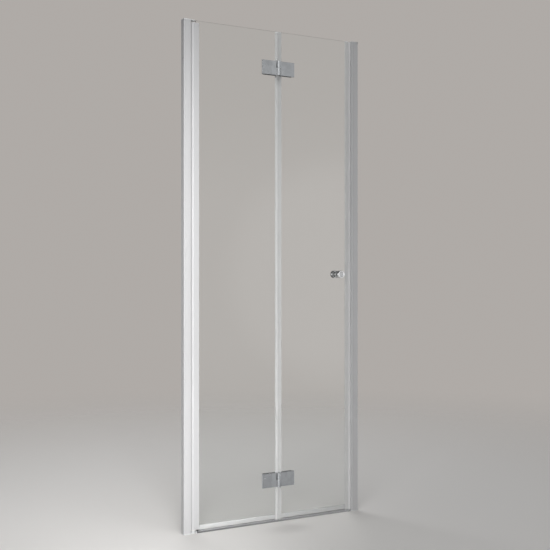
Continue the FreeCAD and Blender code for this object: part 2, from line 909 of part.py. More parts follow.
def hinge_plate(label, bore):
    """Outer plate with half of the knuckle, for the side at -x, knuckle in the lower half.
    The fold line is at x = 0 and the middle of the hinge at z = 0."""
    body = new_body(label)
    out = "clamp_face + plate_thickness"
    root = "clamp_face + plate_root"
    section = sketch_on(body, "XY_Plane", "-half_hinge")
    add_outline(section, [
        ("-slit", "-clamp_face"),
        ("-hinge_reach", "-clamp_face"),
        ("-hinge_reach", "plate_corner - (" + out + ")", "plate_corner"),
        ("plate_corner - hinge_reach", "-(" + out + ")"),
        ("-slit - plate_ramp", "-(" + out + ")"),
        ("-slit", "-(" + root + ")"),
    ])
    plate = pad(body, section, "hinge_height")
    half = value("half_hinge")
    front = -value("clamp_face")

    def outer_rim(edge):
        at_end = level(edge, "Z", half) or level(edge, "Z", -half)
        return at_end and edge.BoundBox.YMin < front - value("plate_thickness") / 2
    bevel(body, plate, outer_rim, "plate_bevel")
    # The arm runs from the root of the plate to where a straight flank touches the barrel
    touch_x = "-(touch_share * slit + touch_side_share * root_in)"
    touch_y = "touch_share * root_in - touch_side_share * slit - fold_axis_out"
    arm = sketch_on(body, "XY_Plane", "-half_hinge")
    add_outline(arm, [
        ("-slit - plate_bevel", "-clamp_face"),
        ("-slit - plate_bevel", "-(" + out + ")"),
        ("-slit", "-(" + root + ")"),
        (touch_x, touch_y),
        ("0", "-fold_axis_out"),
        ("0", "-clamp_face"),
    ])
    pad(body, arm, "half_hinge - half_knuckle_gap")
    barrel = sketch_on(body, "XY_Plane", "-half_hinge")
    add_circle(barrel, "0", "-fold_axis_out", "barrel_radius")
    pad(body, barrel, "half_hinge - half_knuckle_gap")
    hole = sketch_on(body, "XY_Plane", "-half_hinge")
    add_circle(hole, "0", "-fold_axis_out", bore)
    pocket(body, hole, back=True)
    threads = sketch_on(body, "XZ_Plane", "clamp_face")
    screw_circles(threads, "hinge_screw_radius + fit_gap")
    pocket(body, threads, "hinge_screw_depth + face_gap", back=True)
    return body


def back_plate(label):
    """Inner clamp plate with countersunk holes."""
    body = new_body(label)
    face = sketch_on(body, "XZ_Plane", "-clamp_face")
    add_outline(face, [
        ("-back_reach", "-half_hinge"),
        ("-back_edge", "-half_hinge"),
        ("-back_edge", "half_hinge"),
        ("-back_reach", "half_hinge"),
    ])
    slab = pad(body, face, "back_thickness", back=True)
    outer = value("clamp_face + back_thickness")
    bevel(body, slab, lambda edge: level(edge, "Y", outer), "plate_bevel")
    holes = sketch_on(body, "XZ_Plane", "-clamp_face")
    screw_circles(holes, "hinge_screw_radius + fit_gap")
    drilled = pocket(body, holes)
    bevel(body, drilled, lambda edge: is_round(edge) and level(edge, "Y", outer),
          "hinge_screw_head - hinge_screw_radius")
    return body


def clamp_gaskets(label):
    """Soft sheets on both faces of the glass. Collars of the inner one line the glass holes."""
    body = new_body(label, pieces=2)
    hole = "hinge_screw_radius + 2 * fit_gap"
    half = "half_hinge - gasket_margin"
    for offset, reach in (("half_glass", "hinge_reach"), ("-clamp_face", "back_reach")):
        sheet_face = sketch_on(body, "XZ_Plane", offset)
        add_outline(sheet_face, [
            ("gasket_margin - " + reach, "-(" + half + ")"),
            ("-back_edge - gasket_margin", "-(" + half + ")"),
            ("-back_edge - gasket_margin", half),
            ("gasket_margin - " + reach, half),
        ])
        screw_circles(sheet_face, hole)
        pad(body, sheet_face, "hinge_gasket")
    collars = sketch_on(body, "XZ_Plane", "-half_glass")
    screw_circles(collars, "hinge_glass_hole - collar_gap")
    screw_circles(collars, hole)
    pad(body, collars, "glass_thickness - collar_gap")
    return body


def clamp_screws(label):
    """Two countersunk screws, set from the inside. The upright axis of the sketch is the screw's."""
    body = new_body(label, pieces=2)
    head = "clamp_face + back_thickness"
    cone = "hinge_screw_head - hinge_screw_radius"
    section = sketch_on(body, "XY_Plane")
    add_outline(section, [
        ("0", "-clamp_face - hinge_screw_depth"),
        ("hinge_screw_radius", "-clamp_face - hinge_screw_depth"),
        ("hinge_screw_radius", head + " - (" + cone + ")"),
        ("hinge_screw_head", head),
        ("0", head),
    ])
    screw = revolve(body, section)
    repeat_up(body, screw, "hinge_screw_spread", 2)
    return body


def knuckle_bush(label):
    """Flanged bush in the lower knuckle. Its flange carries the upper one."""
    body = new_body(label)
    bore = "hinge_pin_radius + running_gap"
    foot = "hinge_pin_inset - half_hinge"
    section = sketch_on(body, "XZ_Plane")
    add_outline(section, [
        (bore, foot),
        ("hinge_bush_radius", foot),
        ("hinge_bush_radius", "-half_knuckle_gap"),
        ("hinge_bush_flange", "-half_knuckle_gap"),
        ("hinge_bush_flange", "half_knuckle_gap - face_gap"),
        (bore, "half_knuckle_gap - face_gap"),
    ])
    revolve(body, section)
    return body


def hinge_pin(label):
    """Pin that is fast in the upper knuckle and turns in the bush of the lower one."""
    end = "half_hinge - hinge_pin_inset"
    return turned_pin(label, [
        ("0", "-(" + end + ")"),
        ("hinge_pin_radius - pin_chamfer", "-(" + end + ")"),
        ("hinge_pin_radius", "pin_chamfer - (" + end + ")"),
        ("hinge_pin_radius", end + " - pin_chamfer"),
        ("hinge_pin_radius - pin_chamfer", end),
        ("0", end),
    ])


def build_hinge(name, height):
    """One hinge. Its two plates are the same casting, one turned over to face the other."""
    start = "hinge_" + name + "_"
    for side, turn, sign in (("left", None, "-"), ("right", ACROSS, "+")):
        bore = "hinge_bush_radius + fit_gap" if side == "left" else "hinge_pin_radius + fit_gap"
        for piece in (hinge_plate(start + "plate_" + side, bore),
                      back_plate(start + "back_" + side),
                      clamp_gaskets(start + "gaskets_" + side)):
            place(piece, x="fold_x", z=height, turn=turn)
        place(clamp_screws(start + "screws_" + side), x="fold_x " + sign + " hinge_screw_place",
              z=height + " - hinge_screw_spread / 2")
    place(knuckle_bush(start + "bush"), x="fold_x", y="-fold_axis_out", z=height)
    place(hinge_pin(start + "pin"), x="fold_x", y="-fold_axis_out", z=height)


# The first leaf, on the pivots

def pivot_profile():
    """Turning profile: round nose about the pivot, pocket for the glass, two side chambers."""
    body = new_body("pivot_profile")
    section = sketch_on(body, "XY_Plane")
    add_outline(section, [
        ("0", "-nose_radius"),
        ("profile_reach - profile_corner", "-nose_radius", "profile_corner"),
        ("profile_reach", "profile_corner - nose_radius"),
        ("profile_reach", "-pocket_half"),
        ("pocket_floor", "-pocket_half"),
        ("pocket_floor", "pocket_half"),
        ("profile_reach", "pocket_half"),
        ("profile_reach", "nose_radius - profile_corner", "profile_corner"),
        ("profile_reach - profile_corner", "nose_radius"),
        ("0", "nose_radius", "nose_radius"),
    ])
    add_circle(section, "0", "0", "profile_bore")
    inner = "pocket_half + pocket_wall"
    outer = "nose_radius - profile_wall"
    near = "pocket_floor - profile_wall"
    far = "profile_reach - profile_wall"
    for low, high in ((inner, outer), ("-(" + outer + ")", "-(" + inner + ")")):
        add_outline(section, [(near, low), (far, low), (far, high), (near, high)])
    pad(body, section, "leaf_top - profile_bottom")
    place(body, x="pivot_x", z="profile_bottom")


def glazing_gasket():
    """Rubber channel between the glass and the turning profile."""
    body = new_body("glazing_gasket")
    mouth = "profile_reach + gasket_bead"
    floor = "pocket_floor + gasket_floor"
    section = sketch_on(body, "XY_Plane")
    add_outline(section, [
        ("pocket_floor", "-pocket_half"),
        (mouth, "-pocket_half"),
        (mouth, "-half_glass"),
        (floor, "-half_glass"),
        (floor, "half_glass"),
        (mouth, "half_glass"),
        (mouth, "pocket_half"),
        ("pocket_floor", "pocket_half"),
    ])
    pad(body, section, "leaf_top - glass_lift")
    place(body, x="pivot_x", z="glass_lift")


def pivot_bush(label, flange):
    """Bush in one end of the turning profile. The end of the profile is at z = 0."""
    body = new_body(label)
    bore = "pivot_radius + running_gap"
    section = sketch_on(body, "XZ_Plane")
    add_outline(section, [
        (bore, "-(" + flange + ")"),
        ("bush_flange_radius", "-(" + flange + ")"),
        ("bush_flange_radius", "0"),
        ("profile_bore - fit_gap", "0"),
        ("profile_bore - fit_gap", "bush_length"),
        (bore, "bush_length"),
    ])
    revolve(body, section)
    return body


def build_left_leaf():
    """The leaf that turns on the pivots."""
    pivot_profile()
    glazing_gasket()
    pane = glass_pane("glass_left", "pocket_floor + gasket_floor", "left_leaf - half_gap",
                      "left_leaf - hinge_screw_place")
    place(pane, x="pivot_x")
    lower = pivot_bush("pivot_bush_bottom", "profile_bottom - boss_top - face_gap")
    place(lower, x="pivot_x", z="profile_bottom")
    upper = pivot_bush("pivot_bush_top", "bush_flange")
    place(upper, x="pivot_x", z="leaf_top", turn=ALONG)
    drip_seal("drip_seal_left", "drip_start", "left_drip_end")
    for name, bottom, top in seal_lengths():
        fold_seal_left("fold_seal_left_" + name, bottom, top)


# The second leaf, on the fold hinges

def magnet_seal():
    """Clear clip on the free edge with a chamber for the magnet. The glass ends at x = 0."""
    body = new_body("magnet_seal")
    half = "magnet_seal_depth / 2"
    corner = "magnet_seal_width - magnet_corner"
    section = sketch_on(body, "XY_Plane")
    add_outline(section, [
        ("-magnet_leg", "-clip_out"),
        ("0", "-clip_out"),
        ("0", "-" + half),
        (corner, "-" + half, "magnet_corner"),
        ("magnet_seal_width", "magnet_corner - " + half),
        ("magnet_seal_width", half + " - magnet_corner", "magnet_corner"),
        (corner, half),
        ("0", half),
        ("0", "clip_out"),
        ("-magnet_leg", "clip_out"),
        ("-magnet_leg", "half_glass"),
        ("0", "half_glass"),
        ("0", "-half_glass"),
        ("-magnet_leg", "-half_glass"),
    ])
    far = "magnet_seal_width - magnet_wall"
    wide = "(" + half + " - magnet_wall)"
    add_outline(section, [
        ("magnet_wall", "-" + wide),
        (far, "-" + wide),
        (far, wide),
        ("magnet_wall", wide),
    ])
    pad(body, section, "door_height - strip_bottom")
    place(body, x="right_edge", z="strip_bottom")
    magnet = magnet_bar("door_magnet", far + " - face_gap", wide,
                        "door_height - strip_bottom - 2 * magnet_set_back")
    place(magnet, x="right_edge", z="strip_bottom + magnet_set_back")


def knob_half(label):
    """One half of the knob: rosette, neck and dished head, outwards along -y from the glass."""
    body = new_body(label)
    bore = "stud_radius + fit_gap"
    rosette = "knob_foot + rosette_thickness"
    head = "knob_out - knob_head"
    dish = "knob_radius - knob_rim"
    section = sketch_on(body, "XY_Plane")
    add_outline(section, [
        (bore, "-(knob_foot)"),
        (bore, "-(knob_foot + stud_depth + stud_room)"),
        ("0", "-(knob_foot + stud_depth + stud_room)"),
        ("0", "knob_dish - knob_out"),
        (dish + " - knob_dish", "knob_dish - knob_out"),
        (dish, "-knob_out"),
        ("knob_radius - knob_bevel", "-knob_out"),
        ("knob_radius", "knob_bevel - knob_out"),
        ("knob_radius", "-(" + head + " + knob_bevel)"),
        ("knob_radius - knob_bevel", "-(" + head + ")"),
        ("knob_neck_radius + knob_flare", "-(" + head + ")"),
        ("knob_neck_radius", "knob_flare - (" + head + ")"),
        ("knob_neck_radius", "-(" + rosette + ")"),
        ("rosette_radius - rosette_bevel", "-(" + rosette + ")"),
        ("rosette_radius", "rosette_bevel - (" + rosette + ")"),
        ("rosette_radius", "-(knob_foot)"),
    ])
    revolve(body, section)
    return body


def knob_washers():
    """Clear washers under both rosettes. The outer one has a sleeve in the glass hole."""
    body = new_body("knob_washers", pieces=2)
    bore = "stud_radius + 2 * fit_gap"
    sleeve = "knob_hole - collar_gap"
    outer = sketch_on(body, "XY_Plane")
    add_outline(outer, [
        (bore, "-knob_foot"),
        ("knob_washer_radius", "-knob_foot"),
        ("knob_washer_radius", "-half_glass"),
        (sleeve, "-half_glass"),
        (sleeve, "half_glass - collar_gap"),
        (bore, "half_glass - collar_gap"),
    ])
    revolve(body, outer)
    inner = sketch_on(body, "XY_Plane")
    add_outline(inner, [
        (bore, "half_glass"),
        ("knob_washer_radius", "half_glass"),
        ("knob_washer_radius", "knob_foot"),
        (bore, "knob_foot"),
    ])
    revolve(body, inner)
    return body


def knob_stud():
    """Threaded stud that draws both halves of the knob together."""
    body = new_body("knob_stud")
    end = "(knob_foot + stud_depth)"
    section = sketch_on(body, "XY_Plane")
    add_outline(section, [
        ("0", "-" + end),
        ("stud_radius - pin_chamfer", "-" + end),
        ("stud_radius", "pin_chamfer - " + end),
        ("stud_radius", end + " - pin_chamfer"),
        ("stud_radius - pin_chamfer", end),
        ("0", end),
    ])
    revolve(body, section)
    return body


def build_right_leaf():
    """The leaf that folds on the first one and carries the knob."""
    pane = glass_pane("glass_right", "half_gap", "right_edge - fold_x",
                      "hinge_screw_place", knob=True)
    place(pane, x="fold_x")
    drip_seal("drip_seal_right", "right_drip_start", "right_drip_end")
    for name, bottom, top in seal_lengths():
        fold_seal_right("fold_seal_right_" + name, bottom, top)
    magnet_seal()
    place(knob_half("knob_outer"), x="knob_x", z="knob_height")
    place(knob_half("knob_inner"), x="knob_x", z="knob_height", turn=UP)
    place(knob_washers(), x="knob_x", z="knob_height")
    place(knob_stud(), x="knob_x", z="knob_height")


# Build, check and write the sub-parts

build_frame()
build_left_leaf()
build_right_leaf()
build_hinge("lower", "hinge_low")
build_hinge("upper", "hinge_high")
doc.recompute()

for item in doc.Objects:
    if "Invalid" in item.State or "Error" in item.State:
        raise RuntimeError("%s is not up to date: %s" % (item.Name, item.State))
for base, cut in cuts:
    if not cut.Shape.Volume < base.Shape.Volume:
        raise RuntimeError("%s cuts nothing" % cut.Name)
for part in parts:
    if part.Shape.isNull() or not part.Shape.isValid():
        raise RuntimeError("%s has no valid shape" % part.Label)

os.makedirs("parts", exist_ok=True)
for part in parts:
    part.Shape.exportStep("parts/%s.step" % part.Label)
print("%d sub-parts written" % len(parts))
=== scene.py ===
import json
import math

import bmesh
import bpy
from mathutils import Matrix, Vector


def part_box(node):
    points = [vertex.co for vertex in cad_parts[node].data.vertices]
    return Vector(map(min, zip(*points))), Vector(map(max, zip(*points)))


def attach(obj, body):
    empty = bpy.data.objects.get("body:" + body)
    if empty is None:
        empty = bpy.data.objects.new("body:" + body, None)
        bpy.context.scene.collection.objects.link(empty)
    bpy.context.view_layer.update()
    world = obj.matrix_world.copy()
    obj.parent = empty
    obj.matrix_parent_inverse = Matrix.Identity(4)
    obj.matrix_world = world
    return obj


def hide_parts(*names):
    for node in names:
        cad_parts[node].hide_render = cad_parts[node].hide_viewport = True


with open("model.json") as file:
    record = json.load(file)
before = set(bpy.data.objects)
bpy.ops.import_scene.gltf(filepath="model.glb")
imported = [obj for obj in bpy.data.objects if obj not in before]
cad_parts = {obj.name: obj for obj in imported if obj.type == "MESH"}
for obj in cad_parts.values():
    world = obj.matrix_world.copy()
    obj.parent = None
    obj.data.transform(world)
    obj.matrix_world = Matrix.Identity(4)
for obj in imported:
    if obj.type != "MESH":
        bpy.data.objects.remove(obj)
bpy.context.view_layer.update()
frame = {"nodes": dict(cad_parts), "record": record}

nodes = frame["nodes"]
slots = {entry["node"]: entry["material_slot"] for entry in frame["record"]["subparts"]}

MM = 0.001
TURN = 2 * math.pi

# Camera, at the photo's viewing angle
CAMERA_PLACE = (-1.7513, -3.3087, 1.0193)
CAMERA_TURN = math.radians(27.98)
LEVEL_GAZE = math.radians(90)
LENS = 60.0
SHIFT_UP = -0.0061

# Backdrop, floor and even light
BACKDROP = (0.43, 0.405, 0.385)
FLOOR = (0.66, 0.647, 0.632)
FLOOR_RADIUS = 12.0
FLOOR_SEGMENTS = 96
FADE_START = 0.9
FADE_FINISH = 4.5
AMBIENT = 0.17
AMBIENT_COLOUR = (0.97, 0.98, 1.0)

# What metal mirrors: the height of a ray, -1 to 1, and the brightness there
MIRRORED = [(-1.0, 0.30), (-0.62, 0.30), (-0.50, 0.10), (-0.40, 0.14), (-0.27, 0.20),
            (-0.19, 0.46), (-0.08, 0.74), (0.08, 0.74), (0.18, 0.46), (0.30, 0.34),
            (0.42, 0.10), (0.54, 0.10), (1.0, 0.40)]
# Towards the back it is dimmer by this share: the change runs between two y values of a ray
MIRRORED_BACK_SHARE = 0.75
BACK_START = -0.2
BACK_FINISH = 0.35
# Tall dark flags behind on both sides: direction and half angle in degrees
FLAGS = [((-0.46, 0.89, 0.0), 11.0), ((0.48, 0.88, 0.0), 9.0)]
FLAG_EDGE = 5.0
FLAG_SHARE = 0.12
# Soft round windows: direction, half angle, edge and added brightness
WINDOWS = [((-0.18, -1.0, 0.0), 24.0, 8.0, 0.32), ((0.53, -0.85, 0.0), 5.0, 3.0, 0.30),
           ((0.85, -0.53, 0.0), 12.0, 8.0, 0.40)]
# Tall strip lights that rounded edges mirror: direction, half angle and added brightness
STRIPS = [((-0.80, -0.60, 0.0), 4.0, 1.8), ((-0.552, 0.834, 0.0), 1.6, 0.85)]
STRIP_EDGE = 2.5
# How far a ray's height is pressed to make a patch tall
TALLNESS_SHARE = 0.12

# Most of a noise lies between these two values
NOISE_LOW = 0.3
NOISE_HIGH = 0.7

# Fineness of the finished meshes
ARC_STEPS = 5
KNOB_SEGMENTS = 72
CLAMP_SEGMENTS = 48
PAN_SEGMENTS = 60
SHARP_ANGLE = math.radians(32)
# Radius of the tiny ring that ends a turned form, in millimetres
TIP_RADIUS = 0.01
# Points closer than this become one, in millimetres
MERGE_DISTANCE = 0.0001

# Knob in millimetres, with distances measured outwards from the middle of the glass
KNOB_FACE = 34.0
DISH_FLOOR = 33.2
DISH_WALL_TOP = 33.8
DISH_RADIUS = 10.6
DISH_WALL_RADIUS = 11.2
DISH_RIM_RADIUS = 12.0
SATIN_RADIUS = 10.8
DISH_FLOOR_ROUND = 0.8
DISH_WALL_ROUND = 0.3
DISH_RIM_ROUND = 0.6
HEAD_RADIUS = 15.5
HEAD_BACK = 19.0
HEAD_ROUND = 1.4
FLARE_RADIUS = 8.4
FLARE_ROUND = 0.5
NECK_RADIUS = 6.5
NECK_TOP = 17.2
NECK_TOP_ROUND = 2.0
NECK_FOOT_ROUND = 0.6
ROSETTE_RADIUS = 14.0
ROSETTE_FACE = 7.0
ROSETTE_ROUND = 1.0
ROSETTE_BACK = 4.0

# Countersunk clamp screw in millimetres
CLAMP_HEAD_RADIUS = 5.0
CLAMP_FACE_RADIUS = 4.7
CLAMP_EDGE_DEPTH = 0.3
CLAMP_HEAD_DEPTH = 2.6
CLAMP_SHANK_RADIUS = 2.5
CLAMP_END_RADIUS = 2.1
CLAMP_END_BEVEL = 0.4
SOCKET_SIDES = 6
SOCKET_HALF_WIDTH = 1.5
SOCKET_MOUTH_HALF_WIDTH = 1.65
SOCKET_BEVEL = 0.15
SOCKET_DEPTH = 2.2
SOCKET_TIP_DEPTH = 2.4

# Pan head screw in millimetres
PAN_RADIUS = 3.4
PAN_DEPTH = 1.9
PAN_EDGE_DEPTH = 0.95
PAN_SHOULDER_RADIUS = 3.0
PAN_SHOULDER_DEPTH = 0.35
PAN_CROWN_RADIUS = 2.3
PAN_CROWN_DEPTH = 0.03
PAN_SHANK_RADIUS = 1.8
CROSS_MOUTH_RADIUS = 2.05
CROSS_MOUTH_DEPTH = 0.02
CROSS_RADIUS = 1.9
CROSS_DEPTH = 0.12
CROSS_FLOOR_RADIUS = 0.7
CROSS_FLOOR_DEPTH = 1.1
CROSS_TIP_DEPTH = 1.3
CROSS_WINGS = 4
CROSS_CORE_SHARE = 0.38
WING_HALF_ANGLE = math.radians(12)


# Node helpers

def new_material(name):
    """A node material and its Principled shader."""
    material = bpy.data.materials.new(name)
    material.use_nodes = True
    return material, material.node_tree.nodes["Principled BSDF"]


def fixed(shader, **sockets):
    """Sets inputs by name, with underscores for spaces."""
    for name, value in sockets.items():
        shader.inputs[name.replace("_", " ")].default_value = value
    return shader


def node(tree, kind, **sockets):
    """A new node with some of its inputs set."""
    return fixed(tree.nodes.new(kind), **sockets)


def noise(tree, scale, stretch=(1, 1, 1), detail=3.0):
    """Noise in the object's own metres, drawn out along an axis by a small stretch value."""
    place = tree.nodes.new("ShaderNodeTexCoord")
    mapping = node(tree, "ShaderNodeMapping", Scale=stretch)
    texture = node(tree, "ShaderNodeTexNoise", Scale=scale, Detail=detail)
    tree.links.new(place.outputs["Object"], mapping.inputs["Vector"])
    tree.links.new(mapping.outputs["Vector"], texture.inputs["Vector"])
    return texture.outputs["Fac"]


def ranged(tree, value, start, finish, low=0.0, high=1.0, smooth=False):
    """A number that runs from low to high while the value runs from start to finish."""
    band = node(tree, "ShaderNodeMapRange", From_Min=start, From_Max=finish,
                To_Min=low, To_Max=high)
    if smooth:
        band.interpolation_type = "SMOOTHSTEP"
    tree.links.new(value, band.inputs["Value"])
    return band.outputs["Result"]


def spread(tree, factor, low, high):
    """A number that runs from low to high with a noise."""
    return ranged(tree, factor, NOISE_LOW, NOISE_HIGH, low, high)


def tint(tree, factor, first, second):
    """A colour that runs from the first to the second with a noise."""
    ramp = tree.nodes.new("ShaderNodeValToRGB")
    stops = ramp.color_ramp.elements
    for stop, position, colour in zip(stops, (NOISE_LOW, NOISE_HIGH), (first, second)):
        stop.position = position
        stop.color = (*colour, 1)
    tree.links.new(factor, ramp.inputs["Fac"])
    return ramp.outputs["Color"]


def relief(tree, shader, factor, height, strength):
    """Bump of a real height in metres."""
    bump = node(tree, "ShaderNodeBump", Strength=strength, Distance=height)
    tree.links.new(factor, bump.inputs["Height"])
    tree.links.new(bump.outputs["Normal"], shader.inputs["Normal"])


def mixed(tree, share, first, second):
    """The first shader where the share is 0 and the second where it is 1."""
    mix = tree.nodes.new("ShaderNodeMixShader")
    tree.links.new(share, mix.inputs[0])
    tree.links.new(first, mix.inputs[1])
    tree.links.new(second, mix.inputs[2])
    return mix.outputs[0]


def joined(tree, operation, first, second):
    """One number made from two by a math operation."""
    made = tree.nodes.new("ShaderNodeMath")
    made.operation = operation
    tree.links.new(first, made.inputs[0])
    tree.links.new(second, made.inputs[1])
    return made.outputs[0]


def vector_math(tree, operation, vector, other=(0, 0, 0)):
    """The node of a vector operation. Its second vector is fixed."""
    made = tree.nodes.new("ShaderNodeVectorMath")
    made.operation = operation
    made.inputs[1].default_value = other
    tree.links.new(vector, made.inputs[0])
    return made


# Materials

def satin_aluminium():
    """Bright anodised extrusion with fine die lines along its length."""
    material, shader = new_material("satin aluminium")
    tree = material.node_tree
    fixed(shader, Metallic=0.3)
    lines = noise(tree, scale=700.0, stretch=(1, 1, 0))
    cloud = noise(tree, scale=9.0, stretch=(1, 1, 0.3), detail=2.0)
    colour = tint(tree, lines, first=(0.66, 0.66, 0.665), second=(0.71, 0.71, 0.715))
    tree.links.new(colour, shader.inputs["Base Color"])
    tree.links.new(spread(tree, cloud, low=0.34, high=0.42), shader.inputs["Roughness"])
    relief(tree, shader, lines, height=0.02 * MM, strength=0.3)
    return material


def polished_aluminium():
    """Polished extrusion of the low rail, with die lines along x."""
    material, shader = new_material("polished aluminium")
    tree = material.node_tree
    fixed(shader, Metallic=1.0)
    lines = noise(tree, scale=900.0, stretch=(0, 1, 1))
    colour = tint(tree, lines, first=(0.74, 0.745, 0.75), second=(0.82, 0.825, 0.83))
    tree.links.new(colour, shader.inputs["Base Color"])
    tree.links.new(spread(tree, lines, low=0.10, high=0.16), shader.inputs["Roughness"])
    return material


def chrome(name, dark, light, smooth, rough):
    """Plated casting with faint smudges and a slight waviness."""
    material, shader = new_material(name)
    tree = material.node_tree
    fixed(shader, Metallic=1.0)
    smudge = noise(tree, scale=60.0, detail=5.0)
    wave = noise(tree, scale=25.0, detail=1.0)
    tree.links.new(tint(tree, smudge, dark, light), shader.inputs["Base Color"])
    tree.links.new(spread(tree, smudge, low=smooth, high=rough), shader.inputs["Roughness"])
    relief(tree, shader, wave, height=0.04 * MM, strength=0.15)
    return material


def lamp_through(material, shader, colour):
    """Lets lamps shine through a clear material."""
    tree = material.node_tree
    path = tree.nodes.new("ShaderNodeLightPath")
    clear = node(tree, "ShaderNodeBsdfTransparent", Color=(*colour, 1))
    surface = mixed(tree, path.outputs["Is Shadow Ray"], shader.outputs[0], clear.outputs[0])
    tree.links.new(surface, tree.nodes["Material Output"].inputs["Surface"])


def clear_glass():
    """Clear float glass that looks green through its edge."""
    material, shader = new_material("clear glass")
    tree = material.node_tree
    fixed(shader, Base_Color=(0.99, 0.995, 0.99, 1), Transmission_Weight=1.0, IOR=1.5)
    film = noise(tree, scale=6.0, detail=4.0)
    tree.links.new(spread(tree, film, low=0.0, high=0.02), shader.inputs["Roughness"])
    inside = node(tree, "ShaderNodeVolumeAbsorption", Color=(0.72, 0.92, 0.84, 1), Density=2.5)
    tree.links.new(inside.outputs[0], tree.nodes["Material Output"].inputs["Volume"])
    lamp_through(material, shader, colour=(0.97, 0.975, 0.97))
    return material


def clear_seal(name, clearness, colour, paler):
    """Clear or milky soft plastic with a faint cloud."""
    material, shader = new_material(name)
    tree = material.node_tree
    fixed(shader, Transmission_Weight=clearness, IOR=1.5)
    cloud = noise(tree, scale=40.0, stretch=(1, 1, 0.1))
    tree.links.new(tint(tree, cloud, colour, paler), shader.inputs["Base Color"])
    tree.links.new(spread(tree, cloud, low=0.10, high=0.22), shader.inputs["Roughness"])
    lamp_through(material, shader, colour=(0.75, 0.75, 0.75))
    return material


def plain_plastic(name, dark, light, smooth, rough):
    """Matt or half matt material with a fine grain."""
    material, shader = new_material(name)
    tree = material.node_tree
    grain = noise(tree, scale=400.0, detail=4.0)
    tree.links.new(tint(tree, grain, dark, light), shader.inputs["Base Color"])
    tree.links.new(spread(tree, grain, low=smooth, high=rough), shader.inputs["Roughness"])
    relief(tree, shader, grain, height=0.03 * MM, strength=0.3)
    return material


def stainless():
    """Turned steel."""
    material, shader = new_material("stainless")
    tree = material.node_tree
    fixed(shader, Metallic=1.0)
    marks = noise(tree, scale=2500.0, stretch=(1, 1, 0.2), detail=2.0)
    colour = tint(tree, marks, first=(0.50, 0.50, 0.50), second=(0.62, 0.62, 0.61))
    tree.links.new(colour, shader.inputs["Base Color"])
    tree.links.new(spread(tree, marks, low=0.22, high=0.34), shader.inputs["Roughness"])
    return material


materials = {
    "satin_aluminium": satin_aluminium(),
    "bracket_metal": plain_plastic("bracket metal", dark=(0.70, 0.71, 0.71),
                                   light=(0.76, 0.77, 0.77), smooth=0.29, rough=0.41),
    "chrome": chrome("chrome", dark=(0.60, 0.62, 0.64), light=(0.66, 0.68, 0.70),
                     smooth=0.20, rough=0.28),
    "clear_glass": clear_glass(),
    "clear_seal": clear_seal("clear seal", clearness=0.55, colour=(0.96, 0.965, 0.96),
                             paler=(1.0, 1.0, 1.0)),
    "striker_plastic": clear_seal("striker plastic", clearness=0.08,
                                  colour=(0.98, 0.98, 0.985), paler=(1.0, 1.0, 1.0)),
    "magnet": plain_plastic("magnet", dark=(0.09, 0.085, 0.08), light=(0.13, 0.125, 0.12),
                            smooth=0.54, rough=0.66),
    "grey_rubber": plain_plastic("grey rubber", dark=(0.26, 0.26, 0.26),
                                 light=(0.32, 0.32, 0.32), smooth=0.54, rough=0.66),
    "stainless": stainless(),
    "nylon": plain_plastic("nylon", dark=(0.76, 0.76, 0.74), light=(0.82, 0.82, 0.80),
                           smooth=0.44, rough=0.56),
    "cap_plastic": plain_plastic("cap plastic", dark=(0.72, 0.73, 0.73),
                                 light=(0.78, 0.79, 0.79), smooth=0.29, rough=0.41),
}

# Finishes that differ from the slot's usual one
polished = polished_aluminium()
pale_magnet = plain_plastic("pale magnet", dark=(0.66, 0.655, 0.65), light=(0.72, 0.715, 0.71),
                            smooth=0.54, rough=0.66)
milky = clear_seal("milky seal", clearness=0.35, colour=(0.96, 0.965, 0.96),
                   paler=(1.0, 1.0, 1.0))

for name, slot in slots.items():
    nodes[name].data.materials.clear()
    nodes[name].data.materials.append(materials[slot])
nodes["threshold_rail"].data.materials[0] = polished
nodes["striker_magnet"].data.materials[0] = pale_magnet
nodes["magnet_seal"].data.materials[0] = milky
for stretch in ("lower", "middle", "upper"):
    nodes["fold_seal_left_" + stretch].data.materials[0] = milky


# Finished pieces in place of plain CAD nodes

def rounded(corners):
    """Points of an outline in millimetres. A third entry is the radius of a corner's arc."""
    points = []
    for index, corner in enumerate(corners):
        here = Vector(corner[:2])
        if len(corner) == 2:
            points.append(here)
            continue
        before = (Vector(corners[index - 1][:2]) - here).normalized()
        after = (Vector(corners[(index + 1) % len(corners)][:2]) - here).normalized()
        radius = corner[2]
        half = before.angle(after) / 2
        centre = here + (before + after).normalized() * (radius / math.sin(half))
        reach = radius / math.tan(half)
        first = here + before * reach - centre
        last = here + after * reach - centre
        for step in range(ARC_STEPS + 1):
            points.append(centre + first.slerp(last, step / ARC_STEPS) * radius)
    return points


def turned(mesh, profile, centre, outwards, segments):
    """A form about a line along y. The profile gives radius and distance in millimetres,
    and a third entry may be a function that shapes the ring by its angle.
    Returns the faces between the rings, with the number of the ring before each."""
    rings = []
    for radius, distance, *shape in profile:
        ring = []
        for step in range(segments):
            angle = TURN * step / segments
            reach = radius * (shape[0](angle) if shape else 1.0)
            point = Vector((reach * math.cos(angle), outwards * distance,
                            reach * math.sin(angle)))
            ring.append(mesh.verts.new(point * MM + centre))
        rings.append(ring)
    faces = []
    for index, (ring, following) in enumerate(zip(rings, rings[1:])):
        for step in range(segments):
            after = (step + 1) % segments
            corners = (ring[step], ring[after], following[after], following[step])
            faces.append((index, mesh.faces.new(corners)))
    return faces


